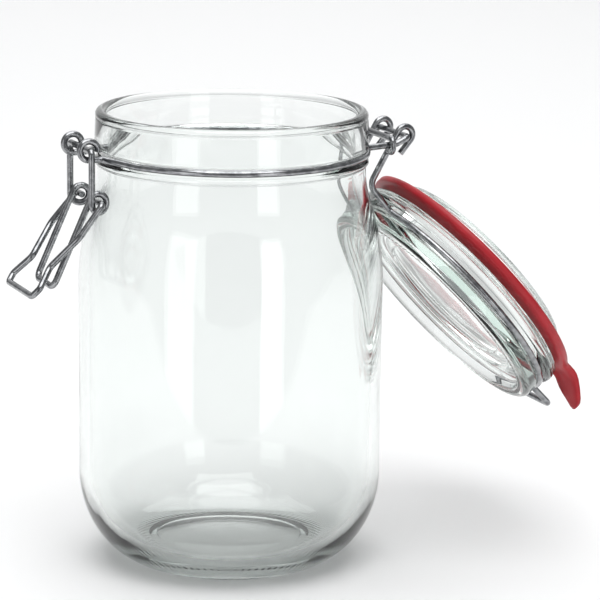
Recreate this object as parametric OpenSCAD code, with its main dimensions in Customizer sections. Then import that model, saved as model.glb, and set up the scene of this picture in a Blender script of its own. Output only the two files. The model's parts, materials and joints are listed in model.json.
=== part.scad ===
// A one-litre preserving jar with a wire bail closure, standing open.
// Millimetres. +Z is up, the origin is the middle of the base, the clamp is at -Y and the hinge at +Y.
// The lid and its wire are drawn closed, then swung back about the hinge bar to where they hang.

/* [Jar] */
// Outside radius of the body
body_r = 54.3; // [53.8:0.1:54.8]
// Height of the rim above the base
rim_z = 163.2; // [163.1:0.1:163.6]
// Thickness of the glass in the body
wall = 4; // [3.6:0.1:4.2]
// Outside radius of the collar under the rim
collar_r = 48.6; // [48.4:0.1:48.8]
// Inside radius of the mouth
mouth_r = 44.4; // [44:0.1:44.8]
// Height of the wire groove under the collar
band_z = 148.3; // [148:0.1:148.5]

/* [Lid] */
// Outside radius of the lid's flange
flange_r = 48.2; // [47.8:0.1:48.4]
// Height of the lid above its seat
lid_h = 14.3; // [14:0.1:14.5]
// Outside radius of the ring that hangs into the mouth
plug_r = 40; // [39.5:0.1:40.4]
// Depth of that ring below the seat
plug_depth = 10.2; // [9:0.1:10.4]

/* [Gasket] */
// Outside radius of the rubber ring
gasket_r = 48.8; // [48.4:0.1:49]
// Thickness of the rubber ring
gasket_h = 2.7; // [2.5:0.1:2.7]
// Reach of the pull tab from the middle of the lid
tab_reach = 63; // [61:0.5:64]

/* [Wire] */
// Diameter of the wire
wire_d = 2.3; // [2.2:0.05:2.3]
// How far the lid hangs open, in degrees from closed
open_angle = 230; // [226:1:230]

/* [Hinge] */
// Distance of the hinge bar behind the middle of the jar
hinge_y = 63.4; // [63.4:0.1:64]
// Height of the hinge bar
hinge_z = 151.3; // [151.1:0.1:151.6]
// Distance of each bracket rod from the middle
rod_x = 12.2; // [12.1:0.1:12.6]

/* [Clamp] */
// Height of the lever's pivot
pivot_z = 152.7; // [152.6:0.1:152.8]
// Distance from the lever's pivot down to its coil eyes
arm = 18.2; // [18.1:0.1:18.3]
// Distance of the coil eyes in front of the middle
coil_y = 53.45; // [53.4:0.05:53.6]
// Length of the lever's handle loop
handle = 32.9; // [30:0.1:35]
// Angle of the lever's handle out from the jar
handle_angle = 24.5; // [22:0.5:27]
// Length of the hook from the coil eyes to its bar
hook_l = 39.62; // [39.5:0.02:39.7]
// Angle of the hanging hook out from the jar
hook_angle = 40; // [38:1:41]

/* [Hidden] */
$fn = 96;

GLASS = [0.82, 0.9, 0.86, 0.45];
STEEL = "silver";
RUBBER = "firebrick";

// Glass of the jar: a long soft shoulder is one convex arc that flows into one concave arc
heel_flat = 27.1;
heel_z = 32;
heel_h = 33.1;
heel_cut = asin(heel_z / heel_h);
foot_r = heel_flat + (body_r - heel_flat) * cos(heel_cut);
shoulder_z = 101;
shoulder_R = 96;
shoulder_turn = 18.4;
neck_R = 33.9;
floor_z = 6.5;
lip_r = 1.8;

// Wire in its seats
fit_gap = 0.05;
wire_r = wire_d / 2;
band_r = 48;
band_front = 33;
band_rear = 20;
seat_z = rim_z + fit_gap + gasket_h;
ring_r = 46.2;
ring_z = seat_z + 6.9;

// Neck wire's front eyes, where the lever turns
pivot = [0, -coil_y - 3.05, pivot_z];
eye_x = 8.3;
eye_r = 3.25;

// Hinge
hinge = [0, hinge_y, hinge_z];
curl_x = 9.2;
curl_r = 3;
curl_centre = [0.304, -0.26] + [hinge_y, hinge_z];
leg_corner = [58.9, ring_z];
tail_l = 6.3;
tie_y = 56.2;
tie_z = 148.87;

// Nose of the lid wire, which the hook's bar rests on
nose_x = 10.6;
nose_y = -56.9;
nose_z = ring_z - 1.25;

// Lever and hook
coil_r = 3.05;
coil = [0, -coil_y, pivot_z - arm];
lever_x = 11.2;
handle_x = 8.85;
hook_x = 13.6;
hook_end_x = 7.4;

// ---- points and directions ----
function unit(v) = v / norm(v);
function arc_points(c, rx, ry, from, to, steps) =
    [for (i = [0:steps]) let (a = from + (to - from) * i / steps) [c[0] + rx * cos(a), c[1] + ry * sin(a)]];

// Corners that a wire cuts to follow an arc about c, which starts along x and heads along y
function arc_corners(c, x, y, r, angle) =
    let (n = ceil(angle / 160), step = angle / n)
    [for (i = [1:n]) let (a = (i - 0.5) * step) c + r / cos(step / 2) * (cos(a) * x + sin(a) * y)];

// A bend's angle, how far it cuts its corner, the square to its plane, and its roll about the wire
function turn(p, i) = acos(unit(p[i] - p[i - 1]) * unit(p[i + 1] - p[i]));
function cut(p, r, i) = i == 0 || i == len(p) - 1 ? 0 : r[i - 1] * tan(turn(p, i) / 2);
function square(p, i) = i == 0 ? [0, 1, 0] : unit(cross(p[i] - p[i - 1], p[i + 1] - p[i]));
function roll(p, i) = atan2(
    cross(square(p, i - 1), square(p, i)) * unit(p[i] - p[i - 1]), square(p, i - 1) * square(p, i));

// ---- wire ----
// A hair-thin collar over the joint between two pieces, so that they overlap
module collar() {
    translate([0, 0, -0.03]) cylinder(h = 0.06, d = wire_d + 0.01);
}

// One straight run and one bend, then the rest of the wire from where they leave off
module run_on(p, r, i) {
    run = norm(p[i] - p[i - 1]) - cut(p, r, i - 1) - cut(p, r, i);
    more = i < len(p) - 1;
    if (run > 0.001) union() {
        cylinder(h = run, d = wire_d);
        if (more) translate([0, 0, run]) collar();
    }
    if (more) {
        R = r[i - 1];
        translate([0, 0, max(run, 0)]) rotate([0, 0, roll(p, i)]) translate([R, 0, 0]) {
            union() {
                rotate([90, 0, 180]) rotate_extrude(angle = turn(p, i)) translate([R, 0]) circle(d = wire_d);
                rotate([0, turn(p, i), 0]) translate([-R, 0, 0]) collar();
            }
            rotate([0, turn(p, i), 0]) translate([-R, 0, 0]) run_on(p, r, i + 1);
        }
    }
}

// Wire through points, its corners bent to the given radii. It starts towards +X.
module wire(p, r) {
    translate(p[0]) rotate([0, 90, 0]) run_on(p, r, 1);
}

module both_sides() {
    children();
    mirror([1, 0, 0]) children();
}

module swing_open() {
    translate(hinge) rotate([-open_angle, 0, 0]) translate(-hinge) children();
}

// ---- parts ----
module jar() {
    inflect = [body_r - shoulder_R * (1 - cos(shoulder_turn)), shoulder_z + shoulder_R * sin(shoulder_turn)];
    neck_c = inflect + neck_R * [cos(shoulder_turn), sin(shoulder_turn)];
    groove_r = wire_r + fit_gap;
    outside = concat(
        [[0, 3.4], [20, 3.2], [27, 1.8], [30.6, 0]],
        arc_points([heel_flat, heel_z], body_r - heel_flat, heel_h, -heel_cut, 0, 14),
        arc_points([body_r - shoulder_R, shoulder_z], shoulder_R, shoulder_R, 0, shoulder_turn, 8),
        arc_points(neck_c, neck_R, neck_R, 177 + shoulder_turn, 180, 5),
        arc_points([47.2, band_z - 3.1], 1.4, 1.4, -70, 60, 6),
        arc_points([band_r, band_z], groove_r, groove_r, 235, 125, 8),
        [[collar_r, band_z + 1.6], [collar_r - 0.4, rim_z - 3], [collar_r - 0.7, rim_z - 2.6]],
        arc_points([collar_r - 0.35 - lip_r, rim_z - lip_r], lip_r, lip_r, -10, 90, 6),
        arc_points([mouth_r + lip_r, rim_z - lip_r], lip_r, lip_r, 90, 180, 6));
    inside = concat(
        [[mouth_r - 0.2, band_z + 2]],
        arc_points(neck_c - [wall, 0], neck_R, neck_R, 180, 180 + shoulder_turn, 5),
        arc_points([body_r - wall - shoulder_R, shoulder_z], shoulder_R, shoulder_R, shoulder_turn, 0, 8),
        arc_points([24, 33], body_r - wall - 24, 33 - floor_z, 0, -90, 14),
        [[0, floor_z + 0.9]]);
    color(GLASS) rotate_extrude() polygon(concat(outside, inside));
}

module neck_wire() {
    front = band_front - 90;
    rear = 90 - band_rear;
    outward = [cos(rear), sin(rear), 0];
    start = band_r * outward + [0, 0, band_z];
    end = band_r * [cos(front), sin(front), 0] + [0, 0, band_z];
    before = start + [sin(rear), -cos(rear), 0] * (rod_x - start[0]) / sin(rear);
    after = [sin(front), -cos(front), 0];
    eye = pivot + [eye_x, 0, 0];
    eye_corner = end + after * (eye_x - end[0]) / after[0];
    corners = concat(
        [hinge, hinge + [rod_x, 0, 0], [rod_x, hinge_y - 5, tie_z + 0.13], before],
        arc_corners([0, 0, band_z], outward, [outward[1], -outward[0], 0], band_r, rear - front),
        [end + 6 * after, [eye_x, eye_corner[1], pivot_z - eye_r]],
        arc_corners(eye, [0, 0, -1], [0, -1, 0], eye_r, 280),
        [eye + eye_r * [0, cos(10), -sin(10)]]);
    color(STEEL) both_sides()
        wire(corners, [1.7, 5, 3, band_r, 12, 2.5, eye_r, eye_r]);
}

// A staple over the bracket rods, its ends turned under them
module hinge_tie() {
    top = tie_z + wire_d + 0.1;
    side = rod_x + wire_d + 0.1;
    under = tie_z - wire_d - 0.1;
    color(STEEL) both_sides()
        wire([[0, tie_y, top], [side, tie_y, top], [side, tie_y, under], [11.4, tie_y, under]], [1.7, 1.7]);
}

module lid() {
    z = seat_z;
    groove_r = wire_r + fit_gap;
    bead_r = ring_r + 0.3;
    outline = concat(
        [[0, z + 4.6], [30, z + 4], [34.2, z + 2.6], [35.4, z - plug_depth + 1.8]],
        arc_points([plug_r - 2, z - plug_depth + 2], 2, 2, -115, 0, 6),
        [[plug_r + 0.9, z], [flange_r - 0.6, z]],
        arc_points([flange_r - 1.6, z + 2.6], 1.6, 2, -50, 80, 8),
        arc_points([ring_r, ring_z], groove_r, groove_r, 240, 120, 8),
        [[bead_r, z + 8.9]],
        arc_points([bead_r - 2.2, z + lid_h - 2.2], 2.2, 2.2, 0, 90, 6),
        [[42.2, z + lid_h], [41.2, z + lid_h - 0.6], [40.2, z + 11], [34, z + 10.6], [32.8, z + 9.9]],
        [[27.4, z + 9.7], [26.4, z + 9.2], [0, z + 9.4]]);
    color(GLASS) swing_open() rotate_extrude() polygon(outline);
}

module gasket() {
    tip = (tab_reach - 3.2) * [sin(24.5), -cos(24.5)];
    root = function (a) (gasket_r - 1.5) * [sin(a), -cos(a)];
    color(RUBBER) swing_open() translate([0, 0, seat_z - gasket_h]) {
        linear_extrude(height = gasket_h) difference() {
            circle(r = gasket_r);
            circle(r = plug_r + 1.1);
        }
        linear_extrude(height = gasket_h)
            polygon(concat([root(20)], arc_points(tip, 3.2, 3.2, 200, 380, 12), [root(51)]));
    }
}

module lid_wire() {
    front = asin(14.5 / ring_r) - 90;
    rear = 74;
    start = ring_r * [cos(front), sin(front), 0] + [0, 0, ring_z];
    end = ring_r * [cos(rear), sin(rear), 0] + [0, 0, ring_z];
    before = start + 2.2 * [sin(front), -cos(front), 0];
    after = end + [-sin(rear), cos(rear), 0] * (end[0] - curl_x) / sin(rear);
    reach = curl_centre - leg_corner;
    down = atan2(reach[1], reach[0]) + asin(curl_r / norm(reach));
    wrap = 189.6;
    back = down - wrap;
    curl = [curl_x, curl_centre[0], curl_centre[1]];
    curl_end = curl + curl_r * [0, -sin(back), cos(back)];
    outward = [cos(front), sin(front), 0];
    corners = concat(
        [[0, nose_y, nose_z], [nose_x, nose_y, nose_z], before],
        arc_corners([0, 0, ring_z], outward, [-sin(front), cos(front), 0], ring_r, rear - front),
        [after, [curl_x, leg_corner[0], leg_corner[1]]],
        arc_corners(curl, [0, -sin(down), cos(down)], [0, cos(down), sin(down)], curl_r, wrap),
        [curl_end + tail_l * [0, cos(back), sin(back)]]);
    color(STEEL) swing_open() both_sides()
        wire(corners, [2.6, 2.5, ring_r, 2.5, 4.5, curl_r, curl_r]);
}

module clamp_lever() {
    mid_x = (lever_x + handle_x) / 2;
    slant = [lever_x - mid_x, -coil_r, 0];
    leave = 180 - handle_angle;
    eye = coil + [handle_x, 0, 0];
    low = eye + coil_r * [0, cos(leave), sin(leave)] + handle * [0, -sin(leave), cos(leave)];
    corners = concat(
        [pivot, pivot + [lever_x, 0, 0]],
        arc_corners(coil + [mid_x, 0, 0], unit(slant), [0, 0, -1], norm(slant), 180),
        arc_corners(eye, [0, 1, 0], [0, 0, 1], coil_r, leave),
        [low, [0, low[1], low[2]]]);
    radii = [1.5, norm(slant), norm(slant), coil_r, 3];
    color(STEEL) {
        union() {
            wire(corners, radii);
            translate([0, low[1], low[2]]) rotate([0, 90, 0]) collar();
        }
        mirror([1, 0, 0]) wire(corners, radii);
    }
}

module clamp_hook() {
    // Each corner is a distance from the middle line and a distance along the hook
    shape = [[0, hook_l], [12.6, hook_l], [14.2, 36], [9.6, 27.8], [14.8, 14], [hook_x, 0], [hook_end_x, 0]];
    along = [0, -sin(hook_angle), -cos(hook_angle)];
    corners = [for (c = shape) coil + [c[0], 0, 0] + c[1] * along];
    color(STEEL) both_sides() wire(corners, [1.8, 2.2, 3.5, 7, 1.5]);
}

jar();
neck_wire();
hinge_tie();
lid();
gasket();
lid_wire();
clamp_lever();
clamp_hook();
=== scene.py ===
"""A one-litre preserving jar, its lid hanging open on a wire hinge: glass, rubber and bright wire."""
import json
import math

import bmesh
import bpy
from mathutils import Matrix, Vector


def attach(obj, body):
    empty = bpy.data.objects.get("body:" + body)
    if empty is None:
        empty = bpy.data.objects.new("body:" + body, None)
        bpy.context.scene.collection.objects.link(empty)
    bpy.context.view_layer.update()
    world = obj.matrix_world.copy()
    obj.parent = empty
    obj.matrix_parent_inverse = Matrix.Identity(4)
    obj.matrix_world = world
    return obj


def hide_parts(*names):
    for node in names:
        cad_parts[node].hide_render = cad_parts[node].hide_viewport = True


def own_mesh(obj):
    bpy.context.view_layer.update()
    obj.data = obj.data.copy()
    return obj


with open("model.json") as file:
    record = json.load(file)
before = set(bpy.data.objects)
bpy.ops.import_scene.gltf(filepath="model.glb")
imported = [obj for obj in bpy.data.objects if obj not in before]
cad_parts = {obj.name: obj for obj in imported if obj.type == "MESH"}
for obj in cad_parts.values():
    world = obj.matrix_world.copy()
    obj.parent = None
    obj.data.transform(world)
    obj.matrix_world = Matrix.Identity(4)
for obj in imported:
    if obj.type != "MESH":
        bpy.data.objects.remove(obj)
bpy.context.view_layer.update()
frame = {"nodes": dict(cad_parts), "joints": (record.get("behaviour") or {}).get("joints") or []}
MM = 0.001
VIEW_TURN = math.radians(67.5)
hinge = next(j for j in frame["joints"] if j["name"] == "lid_hinge")
hinge_at = Vector(hinge["pos_m"])
opened = Matrix.Rotation(-math.radians(hinge["range_deg"][1]), 3, Vector(hinge["axis"]))


# ---- camera ----
def make_camera():
    """Looks at the jar from its side, turned a little to the front, and from a little above."""
    target = Vector((0, 0, 79.9 * MM))
    rise, reach, focal_in_sensor_widths = math.radians(13.55), 1.05, 4.8733
    level = math.cos(rise)
    back = Vector((math.sin(VIEW_TURN) * level, -math.cos(VIEW_TURN) * level, math.sin(rise)))
    yaw, pitch, roll = math.radians(-1.3579), math.radians(-0.7542), math.radians(0.39)
    forward = -back
    right = forward.cross(Vector((0, 0, 1))).normalized()
    up = right.cross(forward)
    forward, right = (forward * math.cos(yaw) - right * math.sin(yaw),
                      right * math.cos(yaw) + forward * math.sin(yaw))
    forward, up = (forward * math.cos(pitch) - up * math.sin(pitch),
                   up * math.cos(pitch) + forward * math.sin(pitch))
    right, up = right * math.cos(roll) + up * math.sin(roll), up * math.cos(roll) - right * math.sin(roll)
    data = bpy.data.cameras.new("camera")
    data.sensor_width = 36
    data.lens = focal_in_sensor_widths * data.sensor_width
    data.clip_end = 20
    camera = bpy.data.objects.new("camera", data)
    bpy.context.scene.collection.objects.link(camera)
    place = Matrix((right, up, -forward)).transposed().to_4x4()
    place.translation = target + back * reach
    camera.matrix_world = place
    bpy.context.scene.camera = camera


# ---- materials ----
def new_material(name):
    material = bpy.data.materials.new(name)
    material.use_nodes = True
    nodes = material.node_tree.nodes
    return material, nodes, material.node_tree.links, nodes["Principled BSDF"]


def noise(nodes, links, scale, detail, stretch=(1, 1, 1)):
    """A 3-D noise in the frame's own metres."""
    place = nodes.new("ShaderNodeTexCoord")
    mapping = nodes.new("ShaderNodeMapping")
    mapping.inputs["Scale"].default_value = stretch
    texture = nodes.new("ShaderNodeTexNoise")
    texture.inputs["Scale"].default_value = scale
    texture.inputs["Detail"].default_value = detail
    links.new(place.outputs["Object"], mapping.inputs["Vector"])
    links.new(mapping.outputs["Vector"], texture.inputs["Vector"])
    return texture


def ramp(nodes, links, source, low, high, place=(0.35, 0.65)):
    """Spreads a noise between two colours."""
    spread = nodes.new("ShaderNodeValToRGB")
    spread.color_ramp.elements[0].position, spread.color_ramp.elements[1].position = place
    spread.color_ramp.elements[0].color = low
    spread.color_ramp.elements[1].color = high
    links.new(source, spread.inputs["Fac"])
    return spread


def bump(nodes, links, shader, source, strength, distance):
    """Raises the surface by a noise."""
    relief = nodes.new("ShaderNodeBump")
    relief.inputs["Strength"].default_value = strength
    relief.inputs["Distance"].default_value = distance
    links.new(source, relief.inputs["Height"])
    links.new(relief.outputs["Normal"], shader.inputs["Normal"])


def glass(name, waviness):
    """Clear pressed glass: faintly green through its depth, and slightly uneven from the mould."""
    material, nodes, links, shader = new_material(name)
    shader.inputs["Base Color"].default_value = (0.955, 0.965, 0.96, 1)
    shader.inputs["Transmission Weight"].default_value = 1
    shader.inputs["Roughness"].default_value = 0
    shader.inputs["IOR"].default_value = 1.5
    shape = noise(nodes, links, 55, 1.5, (1, 1, 0.45))
    bump(nodes, links, shader, shape.outputs["Fac"], waviness, 0.0012)
    depth = nodes.new("ShaderNodeVolumeAbsorption")
    depth.inputs["Color"].default_value = (0.45, 0.72, 0.6, 1)
    depth.inputs["Density"].default_value = 7
    links.new(depth.outputs["Volume"], nodes["Material Output"].inputs["Volume"])
    return material


def wire(name):
    """Bright drawn wire: fine lines of the die, and a little cloudiness of the zinc."""
    material, nodes, links, shader = new_material(name)
    shader.inputs["Metallic"].default_value = 1
    cloud = noise(nodes, links, 420, 3)
    colour = ramp(nodes, links, cloud.outputs["Fac"], (0.2, 0.205, 0.215, 1), (0.38, 0.385, 0.395, 1))
    links.new(colour.outputs["Color"], shader.inputs["Base Color"])
    shine = ramp(nodes, links, cloud.outputs["Fac"], (0.13, 0.13, 0.13, 1), (0.24, 0.24, 0.24, 1))
    links.new(shine.outputs["Color"], shader.inputs["Roughness"])
    fine = noise(nodes, links, 1500, 2)
    bump(nodes, links, shader, fine.outputs["Fac"], 0.12, 0.0001)
    return material


def rubber(name):
    """Red rubber with a satin bloom and the fine grain of a moulded ring."""
    material, nodes, links, shader = new_material(name)
    cloud = noise(nodes, links, 90, 4)
    colour = ramp(nodes, links, cloud.outputs["Fac"], (0.38, 0.01, 0.018, 1), (0.48, 0.015, 0.025, 1))
    links.new(colour.outputs["Color"], shader.inputs["Base Color"])
    shader.inputs["Roughness"].default_value = 0.42
    shader.inputs["Specular IOR Level"].default_value = 0.4
    fine = noise(nodes, links, 2600, 2)
    bump(nodes, links, shader, fine.outputs["Fac"], 0.25, 0.00012)
    return material


def paint(obj, material):
    """Gives a piece one material all over."""
    obj.data.materials.clear()
    obj.data.materials.append(material)


# ---- shapes ----
def arc(cx, cz, rx, rz, start, end, steps):
    """Points in a profile round an arc, from one angle to another in degrees."""
    angles = [math.radians(start + (end - start) * i / steps) for i in range(steps + 1)]
    return [(cx + rx * math.cos(a), cz + rz * math.sin(a)) for a in angles]


def soften(points, cut, steps=4):
    """Rounds each corner of a profile that turns by more than a few degrees."""
    out = [points[0]]
    for i in range(1, len(points) - 1):
        p, q, r = (Vector(points[k]) for k in (i - 1, i, i + 1))
        before, after = p - q, r - q
        if before.length < 1e-9 or after.length < 1e-9:
            continue
        turn = math.pi - before.angle(after)
        reach = min(cut, before.length * 0.45, after.length * 0.45)
        if turn < math.radians(7):
            out.append(tuple(q))
            continue
        a, b = q + before.normalized() * reach, q + after.normalized() * reach
        for k in range(steps + 1):
            t = k / steps
            out.append(tuple(a * (1 - t) ** 2 + q * 2 * t * (1 - t) + b * t * t))
    out.append(points[-1])
    return out


def as_object(name, bm):
    """Makes a smooth-shaded object of a finished mesh."""
    mesh = bpy.data.meshes.new(name)
    bm.to_mesh(mesh)
    bm.free()
    mesh.shade_smooth()
    obj = bpy.data.objects.new(name, mesh)
    bpy.context.scene.collection.objects.link(obj)
    return obj


def lathe(name, profile, ridges, steps=360):
    """Turns a closed profile in millimetres about the upright axis. It starts and ends on the axis.
    ridges(radius, height, step) gives how far a point is pushed up or down."""
    bm = bmesh.new()
    first = bm.verts.new((0, 0, profile[0][1] * MM))
    last = bm.verts.new((0, 0, profile[-1][1] * MM))
    rings = []
    for r, z in profile[1:-1]:
        ring = []
        for k in range(steps):
            a = 2 * math.pi * k / steps
            lifted = z + ridges(r, z, k)
            ring.append(bm.verts.new((r * MM * math.cos(a), r * MM * math.sin(a), lifted * MM)))
        rings.append(ring)
    for k in range(steps):
        n = (k + 1) % steps
        bm.faces.new((first, rings[0][n], rings[0][k]))
        bm.faces.new((last, rings[-1][k], rings[-1][n]))
        for low, high in zip(rings, rings[1:]):
            bm.faces.new((low[k], low[n], high[n], high[k]))
    bmesh.ops.recalc_face_normals(bm, faces=bm.faces)
    return as_object(name, bm)


def swung(obj):
    """Turns a piece drawn closed, about the hinge bar, to where the open lid hangs."""
    obj.data.transform(Matrix.Translation(hinge_at) @ opened.to_4x4() @ Matrix.Translation(-hinge_at))
    return obj


# ---- glass ----
BODY_R, RIM, BAND_Z, COLLAR_R, MOUTH_R, WALL = 54.3, 163.2, 148.3, 48.6, 44.4, 4
HEEL_R, HEEL_Z, HEEL_H, FLOOR_H = 27.1, 32, 33.1, 26.8
SHOULDER_R, SHOULDER_Z, SHOULDER_TURN, NECK_R = 96, 101, 18.4, 33.9
LIP, GROOVE = 1.8, 1.2
SEAT = RIM + 2.75
RING_R, RING_Z, FLANGE_R, PLUG_R, PLUG_DEEP, LID_H = 46.2, SEAT + 6.9, 48.2, 40, 10.2, 14.3


def jar_profile():
    """Down the outside from the middle of the base, over the rim, and back down the inside."""
    turn = math.radians(SHOULDER_TURN)
    neck_r = BODY_R - SHOULDER_R + (SHOULDER_R + NECK_R) * math.cos(turn)
    neck_z = SHOULDER_Z + (SHOULDER_R + NECK_R) * math.sin(turn)
    heel_cut = math.degrees(math.asin(HEEL_Z / HEEL_H))
    base = [(0, 3.4), (10, 3.2), (18, 2.7), (24, 1.95), (26.8, 1.45), (27.2, 1.25), (29.4, 0.65),
            (31.2, 0.05)]
    outside = (
        arc(HEEL_R, HEEL_Z, BODY_R - HEEL_R, HEEL_H, -heel_cut, 0, 48)
        + [(BODY_R, 40 + 5 * k) for k in range(12)]
        + arc(BODY_R - SHOULDER_R, SHOULDER_Z, SHOULDER_R, SHOULDER_R, 0.5, SHOULDER_TURN, 28)
        + arc(neck_r, neck_z, NECK_R, NECK_R, 177 + SHOULDER_TURN, 180.3, 16)
        + arc(47.2, BAND_Z - 3.1, 1.4, 1.4, -70, 60, 14)
        + arc(48, BAND_Z, GROOVE, GROOVE, 235, 125, 18)
        + [(COLLAR_R, BAND_Z + 1.7), (COLLAR_R - 0.2, RIM - 7), (COLLAR_R - 0.42, RIM - 3.1)]
        + [(COLLAR_R - 0.75, RIM - 2.6)]
        + arc(COLLAR_R - 0.35 - LIP, RIM - LIP, LIP, LIP, -10, 90, 16)
        + arc(MOUTH_R + LIP, RIM - LIP, LIP, LIP, 90, 180, 16)
    )
    inside = (
        [(MOUTH_R - 0.1, RIM - 7), (MOUTH_R - 0.2, BAND_Z + 2)]
        + arc(neck_r - WALL, neck_z, NECK_R, NECK_R, 179.5, 180 + SHOULDER_TURN, 20)
        + arc(BODY_R - SHOULDER_R - WALL, SHOULDER_Z, SHOULDER_R, SHOULDER_R, SHOULDER_TURN - 1, 0, 28)
        + [(BODY_R - WALL, 96 - 5 * k) for k in range(12)]
        + arc(HEEL_R, HEEL_Z, BODY_R - HEEL_R - WALL, FLOOR_H, 0, -86, 44)
        + [(24, 5.25), (18, 5.6), (12, 5.9), (6, 6.1), (0, 6.2)]
    )
    return base + outside + inside


def lid_profile():
    """Up the underside from its middle, round the plug and flange, and back over the top."""
    z = SEAT
    under = [(0, z + 4.6), (14, z + 4.5), (26, z + 4.2), (31.5, z + 3.7), (34.2, z + 2.4), (34.7, z - 2)]
    plug = [(35.4, z - PLUG_DEEP + 1.9)] + arc(PLUG_R - 2.1, z - PLUG_DEEP + 2.1, 2.1, 2.1, -115, 0, 16)
    side = (
        [(PLUG_R + 0.35, z - 4), (PLUG_R + 0.85, z), (FLANGE_R - 0.65, z)]
        + arc(FLANGE_R - 1.6, z + 2.6, 1.6, 2, -50, 80, 18)
        + arc(RING_R, RING_Z, GROOVE, GROOVE, 240, 120, 18)
        + [(RING_R + 0.3, z + 9)]
        + arc(RING_R - 1.9, z + LID_H - 2.2, 2.2, 2.2, 0, 84, 16)
    )
    crown = z + LID_H
    top = [(43.6, crown - 0.02), (43.2, crown - 0.2), (42.3, crown - 0.2), (41.9, crown - 0.02)]
    recess = [(41.3, crown - 0.6), (40.3, z + 11.1), (39.2, z + 10.9), (34.2, z + 10.6),
              (33.4, z + 10.4)]
    middle = [(32.9, z + 9.9), (32, z + 9.8), (27.5, z + 9.7), (26.9, z + 9.5), (26.4, z + 9.25),
              (25.6, z + 9.2), (14, z + 9.3), (0, z + 9.4)]
    return under + plug + side + top + recess + middle


def base_ridges(r, z, k):
    """The ring that the jar stands on is knurled."""
    if 31.2 < r < 36.5 and z < 1.6:
        return 0.22 if k % 4 < 2 else 0
    return 0


def lid_ridges(r, z, k):
    """A ring of small teeth runs round the top edge."""
    if 42 < r < 43.5 and z > SEAT + LID_H - 0.5:
        return 0.16 if k % 3 else -0.18
    return 0


def gasket_ring():
    """A flat ring stretched over the plug, so that it stands up like a shallow cup, with a tab
    on its edge that curls back towards the flange."""
    steps, inner, outer, thick = 360, 41.1, 48.8, 2.6
    cup, curl, twist, tab_reach, tab_at = 2.8, 5.6, 0.45, 63, 24.5 - 90
    outline = [(0, tab_reach), (1.2, 62.8), (2.2, 62), (3.1, 60.2), (4.2, 57.2), (5.6, 54), (7.5, 51.3),
               (9.5, 49.9), (12, 49.1), (15, outer)]
    section = [(0, 0.1), (0.03, 0), (0.35, 0), (0.7, 0), (0.95, 0), (1, 0.14), (1, 0.5), (1, 0.86),
               (0.95, 1), (0.7, 1), (0.35, 1), (0.03, 1), (0, 0.9)]
    bm = bmesh.new()
    rings = []
    for k in range(steps):
        degree = 360 * k / steps
        a = math.radians(degree)
        past = (degree - tab_at + 180) % 360 - 180
        off = abs(past)
        edge = outer
        for (o1, r1), (o2, r2) in zip(outline, outline[1:]):
            if o1 <= off <= o2:
                edge = r1 + (r2 - r1) * (off - o1) / (o2 - o1)
        ring = []
        for across, deep in section:
            r = inner + (edge - inner) * across
            out = max(0, r - outer) / (tab_reach - outer)
            rise = cup * min(1, (r - inner) / (outer - inner)) - curl * out ** 1.5
            tilt = twist * min(1, 2.5 * out) * r * math.sin(math.radians(past))
            z = SEAT - 0.02 - rise - tilt - thick * (1 - 0.25 * out) * deep
            ring.append(bm.verts.new((r * MM * math.cos(a), r * MM * math.sin(a), z * MM)))
        rings.append(ring)
    count = len(section)
    for k in range(steps):
        here, there = rings[k], rings[(k + 1) % steps]
        for i in range(count):
            j = (i + 1) % count
            bm.faces.new((here[i], there[i], there[j], here[j]))
    bmesh.ops.recalc_face_normals(bm, faces=bm.faces)
    return as_object("gasket_ring", bm)


make_camera()
jar_glass = glass("jar_glass", 0.1)
lid_glass = glass("lid_glass", 0.06)
bright_wire = wire("bright_wire")
red_rubber = rubber("red_rubber")

jar = lathe("jar_glass_body", soften(jar_profile(), 0.5), base_ridges)
paint(jar, jar_glass)
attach(jar, "jar_body")
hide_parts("jar")

lid = swung(lathe("lid_glass_disc", soften(lid_profile(), 0.5), lid_ridges))
paint(lid, lid_glass)
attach(lid, "lid_assembly")
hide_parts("lid")

ring = swung(gasket_ring())
paint(ring, red_rubber)
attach(ring, "lid_assembly")
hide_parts("gasket")
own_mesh(ring)
for node in ("neck_wire", "hinge_tie", "lid_wire", "clamp_lever", "clamp_hook"):
    paint(frame["nodes"][node], bright_wire)


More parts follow.
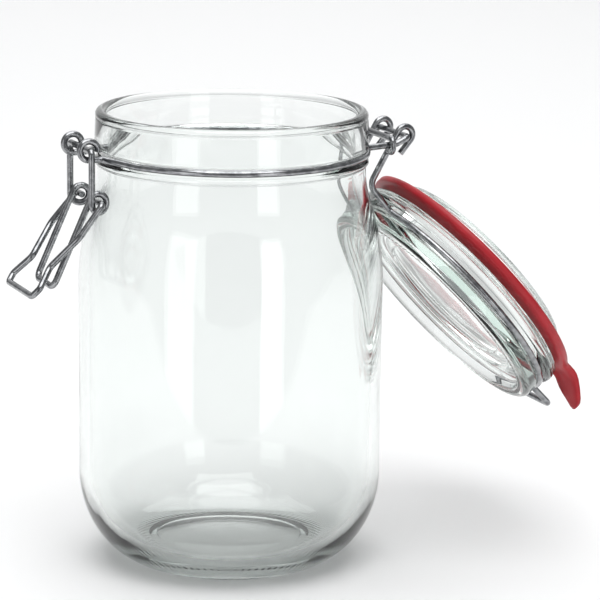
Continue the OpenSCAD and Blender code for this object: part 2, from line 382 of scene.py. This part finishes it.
# ---- stage ----
def pale(name):
    """Plain matt white, for the floor."""
    material, nodes, links, shader = new_material(name)
    shader.inputs["Base Color"].default_value = (0.93, 0.93, 0.93, 1)
    shader.inputs["Roughness"].default_value = 0.9
    shader.inputs["Specular IOR Level"].default_value = 0.1
    return material


def sweep_floor():
    """A pale floor that curves up behind the jar, away from the camera."""
    away = Vector((-math.sin(VIEW_TURN), math.cos(VIEW_TURN), 0))
    side = Vector((away.y, -away.x, 0))
    front, flat, bend, height, half_width, gap = -0.25, 2.0, 0.6, 2.4, 2.2, 0.0002
    line = [(front, 0), (flat, 0)]
    angles = [math.radians(a) for a in range(6, 91, 6)]
    line += [(flat + bend * math.sin(a), bend - bend * math.cos(a)) for a in angles]
    line += [(flat + bend, height)]
    bm = bmesh.new()
    rows = []
    for s in (-half_width, half_width):
        rows.append([bm.verts.new(away * d + side * s + Vector((0, 0, h - gap))) for d, h in line])
    for k in range(len(line) - 1):
        bm.faces.new((rows[0][k], rows[0][k + 1], rows[1][k + 1], rows[1][k]))
    floor = as_object("floor", bm)
    paint(floor, pale("pale_floor"))


def area_light(name, place, aim, size, power):
    data = bpy.data.lights.new(name, "AREA")
    data.shape = "RECTANGLE"
    data.size, data.size_y = size
    data.energy = power
    light = bpy.data.objects.new(name, data)
    bpy.context.scene.collection.objects.link(light)
    light.visible_camera = False
    light.location = place
    light.rotation_euler = (Vector(aim) - Vector(place)).to_track_quat("-Z", "Y").to_euler()


sweep_floor()
area_light("back_light", (-1.2, 0.5, 1.9), (-1.1, 0.46, 0), (2.4, 1.8), 27)
area_light("top_light", (0.4, -0.12, 1.25), (0, 0, 0), (1.1, 1.1), 12)
area_light("left_window", (0.54, -0.96, -0.07), (0, 0, -0.07), (0.42, 1.05), 2)
area_light("right_window", (1.15, 0.17, -0.07), (0, 0, -0.07), (0.36, 1.05), 2)

world = bpy.data.worlds.new("studio")
bpy.context.scene.world = world
world.use_nodes = True
world.node_tree.nodes["Background"].inputs["Color"].default_value = (0.3, 0.305, 0.31, 1)
world.node_tree.nodes["Background"].inputs["Strength"].default_value = 1
bpy.context.scene.view_settings.view_transform = "Standard"
